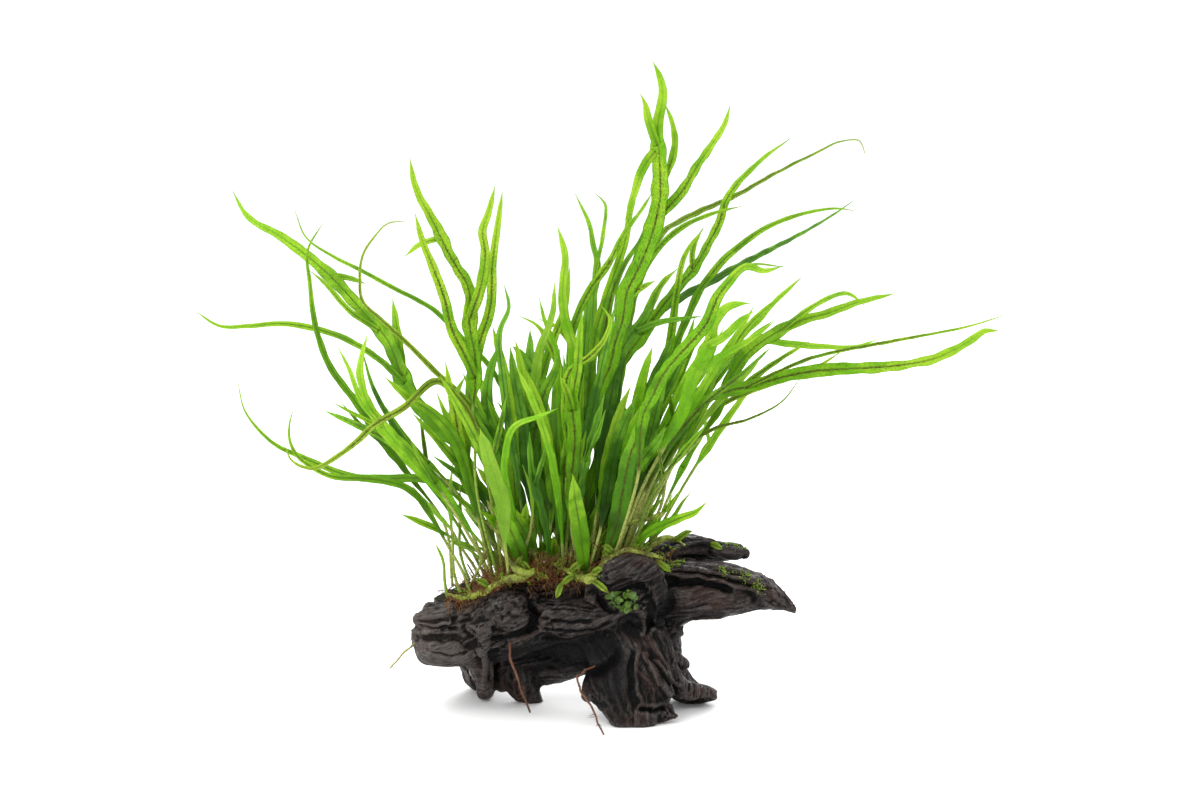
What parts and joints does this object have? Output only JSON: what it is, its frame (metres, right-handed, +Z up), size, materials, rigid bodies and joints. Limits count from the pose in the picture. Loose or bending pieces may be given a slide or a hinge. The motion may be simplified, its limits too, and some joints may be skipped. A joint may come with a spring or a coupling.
{
  "type": "java fern on driftwood",
  "caption": "Aquarium fern with long strap fronds, some forked into antler-like lobes, growing from a root cushion on a dark branched piece of driftwood that stands on four feet.",
  "frame": {"origin": "centre of the object's box, on the surface it stands on", "axes": "+X along the log from its blunt left end to its pointed right branch, +Y away from the front, +Z up"},
  "size_m": [0.3206, 0.1528, 0.2617],
  "materials": {
    "driftwood": "wet, near-black brown, fibrous and pitted",
    "root_mat": "matt wiry roots",
    "rhizome": "smooth green stem with brown scales",
    "root": "thin reddish brown root",
    "leaflet": "wet round leaf",
    "frond": "satin leaf, lit through, with brown midrib and spore dots"
  },
  "bodies": {
    "root": {"floor_root": "root", "frond_left_01": "frond", "frond_left_02": "frond", "frond_left_03": "frond", "frond_left_04": "frond", "frond_left_05": "frond", "frond_left_06": "frond", "frond_left_07": "frond", "frond_left_08": "frond", "frond_left_09": "frond", "frond_left_10": "frond", "frond_left_11": "frond", "frond_left_12": "frond", "frond_left_13": "frond", "frond_left_14": "frond", "frond_middle_01": "frond", "frond_middle_02": "frond", "frond_middle_03": "frond", "frond_middle_04": "frond", "frond_middle_05": "frond", "frond_middle_06": "frond", "frond_middle_07": "frond", "frond_middle_08": "frond", "frond_middle_09": "frond", "frond_middle_10": "frond", "frond_middle_11": "frond", "frond_middle_12": "frond", "frond_middle_13": "frond", "frond_middle_14": "frond", "frond_middle_15": "frond", "frond_middle_16": "frond", "frond_right_01": "frond", "frond_right_02": "frond", "frond_right_03": "frond", "frond_right_04": "frond", "frond_right_05": "frond", "frond_right_06": "frond", "frond_right_07": "frond", "frond_right_08": "frond", "frond_right_09": "frond", "frond_right_10": "frond", "frond_right_11": "frond", "frond_right_12": "frond", "frond_right_13": "frond", "frond_right_14": "frond", "frond_right_15": "frond", "frond_right_16": "frond", "hanging_root": "root", "leaflet_cluster": "leaflet", "left_root": "root", "rhizome_left": "rhizome", "rhizome_right": "rhizome", "root_mat": "root_mat", "wood_front_foot": "driftwood", "wood_left_foot": "driftwood", "wood_middle_foot": "driftwood", "wood_right_branch": "driftwood", "wood_right_foot": "driftwood", "wood_trunk": "driftwood", "wood_upper_branch": "driftwood"}
  },
  "joints": []
}
